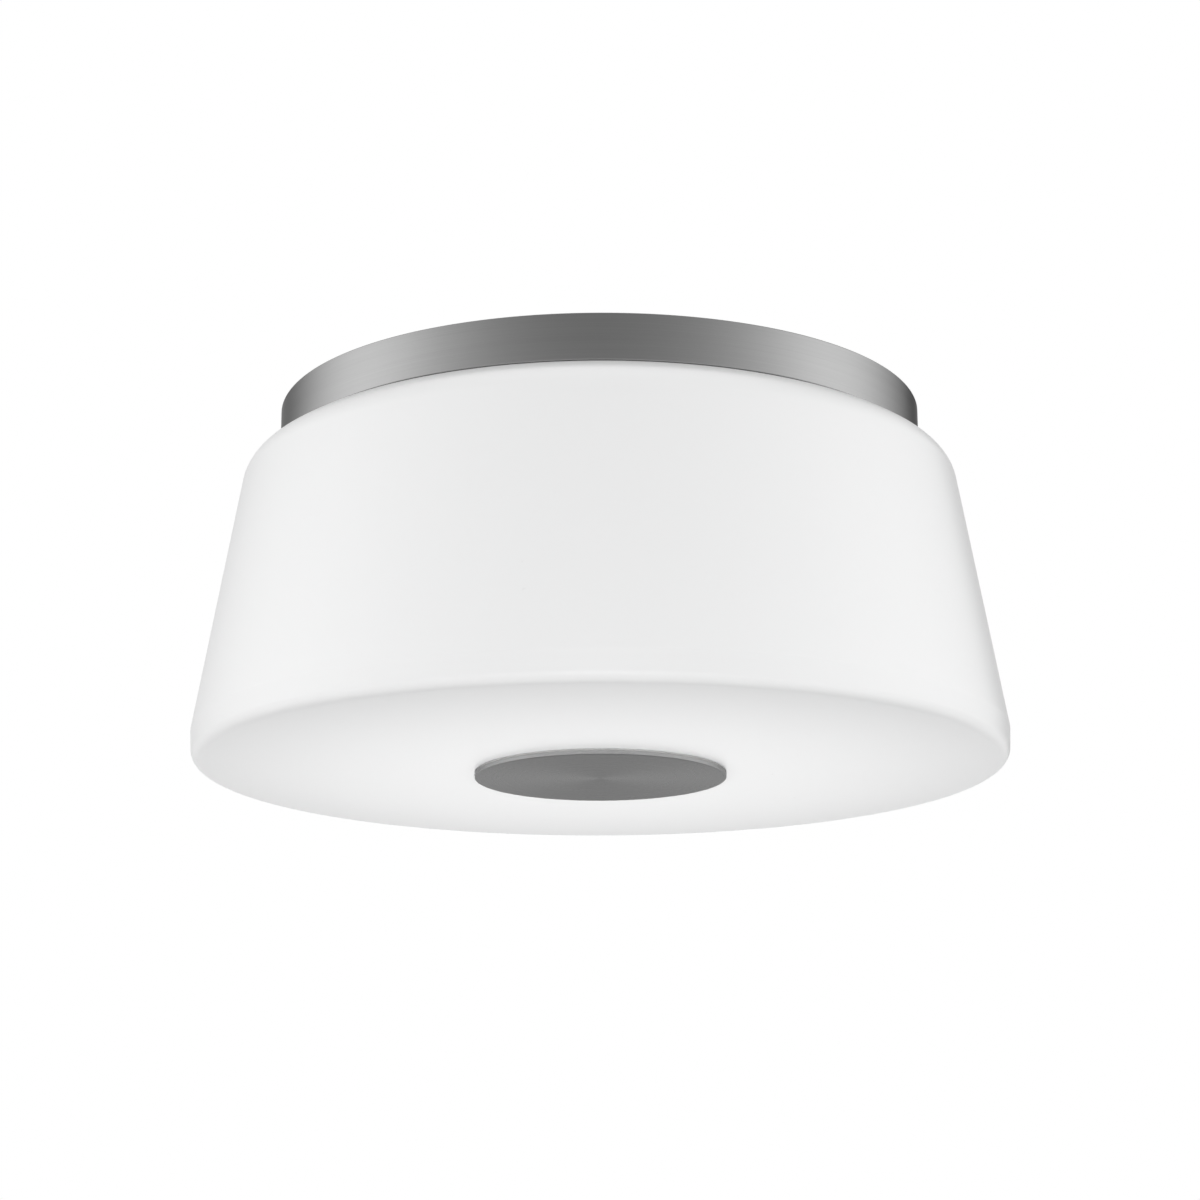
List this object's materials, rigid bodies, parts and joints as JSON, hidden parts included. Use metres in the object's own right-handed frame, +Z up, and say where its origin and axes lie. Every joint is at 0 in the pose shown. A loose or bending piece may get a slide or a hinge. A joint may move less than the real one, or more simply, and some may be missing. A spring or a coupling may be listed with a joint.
{
  "type": "flush mount ceiling light",
  "caption": "Flush mount ceiling light: a flared opal glass drum with a flat bottom, held under a round brushed metal pan by a flat disc finial on a centre rod.",
  "frame": {"origin": "centre of the light in the plane of the ceiling, on the crossbar's upper face", "axes": "+Z up, out of the ceiling face; +Y along the crossbar; +X along the lamps"},
  "size_m": [0.33, 0.3298, 0.1514],
  "materials": {
    "pan_metal": "satin brushed nickel",
    "gasket_rubber": "matt",
    "plated_steel": "zinc plated",
    "cap_nut_metal": "satin nickel, knurled",
    "opal_glass": "glossy opal",
    "finial_metal": "satin brushed nickel",
    "turned_brass": "satin",
    "washer_silicone": "matt",
    "porcelain": "glazed",
    "shell_brass": "satin",
    "lamp_glass": "satin opal",
    "lamp_cap_metal": "satin",
    "lamp_insulator": "gloss black",
    "lamp_tip_metal": "satin",
    "black_sleeve": "satin",
    "white_sleeve": "satin",
    "green_sleeve": "satin",
    "connector_plastic": "satin",
    "bushing_plastic": "satin",
    "green_screw": "green plated"
  },
  "bodies": {
    "root": {"ceiling_pan": "pan_metal", "pan_gasket": "gasket_rubber", "mounting_crossbar": "plated_steel", "mounting_studs": "plated_steel", "stud_lock_nuts": "plated_steel", "knurled_cap_nuts": "cap_nut_metal", "centre_rod": "plated_steel", "rod_nuts": "plated_steel", "rod_washers": "plated_steel", "bracket_screws": "plated_steel", "lead_bushings": "bushing_plastic", "wire_connectors": "connector_plastic", "earth_terminals": "plated_steel", "earth_screws": "green_screw", "earth_lead": "green_sleeve", "socket_1_body": "porcelain", "socket_1_shell": "shell_brass", "socket_1_contact": "shell_brass", "socket_1_bracket": "plated_steel", "socket_1_screws": "plated_steel", "lamp_1_hot_lead": "black_sleeve", "lamp_1_neutral_lead": "white_sleeve", "socket_2_body": "porcelain", "socket_2_shell": "shell_brass", "socket_2_contact": "shell_brass", "socket_2_bracket": "plated_steel", "socket_2_screws": "plated_steel", "lamp_2_hot_lead": "black_sleeve", "lamp_2_neutral_lead": "white_sleeve"},
    "shade": {"glass_shade": "opal_glass"},
    "finial_travel": {"finial_washer": "washer_silicone"},
    "finial": {"finial_disc": "finial_metal", "finial_boss": "turned_brass"},
    "lamp_1_travel": {"lamp_1_contact": "lamp_tip_metal"},
    "lamp_1": {"lamp_1_cap": "lamp_cap_metal", "lamp_1_insulator": "lamp_insulator", "lamp_1_bulb": "lamp_glass"},
    "lamp_2_travel": {"lamp_2_contact": "lamp_tip_metal"},
    "lamp_2": {"lamp_2_cap": "lamp_cap_metal", "lamp_2_insulator": "lamp_insulator", "lamp_2_bulb": "lamp_glass"}
  },
  "joints": [
    {"name": "shade_lower", "type": "slide", "parent": "root", "child": "shade", "axis": [0, 0, -1], "range_m": [0, 0.15]},
    {"name": "finial_drop", "type": "slide", "parent": "shade", "child": "finial_travel", "axis": [0, 0, -1], "range_m": [0, 0.012]},
    {"name": "finial_turn", "type": "hinge", "parent": "finial_travel", "child": "finial", "pos_m": [0, 0, -0.1497], "axis": [0, 0, -1], "range_deg": [0, 4320]},
    {"name": "lamp_1_back_out", "type": "slide", "parent": "root", "child": "lamp_1_travel", "axis": [1, 0, 0], "range_m": [0, 0.01815]},
    {"name": "lamp_1_turn", "type": "hinge", "parent": "lamp_1_travel", "child": "lamp_1", "pos_m": [0, 0.044, -0.066], "axis": [1, 0, 0], "range_deg": [0, 1800]},
    {"name": "lamp_2_back_out", "type": "slide", "parent": "root", "child": "lamp_2_travel", "axis": [-1, 0, 0], "range_m": [0, 0.01815]},
    {"name": "lamp_2_turn", "type": "hinge", "parent": "lamp_2_travel", "child": "lamp_2", "pos_m": [0, -0.044, -0.066], "axis": [-1, 0, 0], "range_deg": [0, 1800]}
  ],
  "couplings": [
    {"joint": "finial_drop", "follows": "finial_turn", "m_per_rad": 0.00015915},
    {"joint": "lamp_1_back_out", "follows": "lamp_1_turn", "m_per_rad": 0.00057757},
    {"joint": "lamp_2_back_out", "follows": "lamp_2_turn", "m_per_rad": 0.00057757}
  ]
}
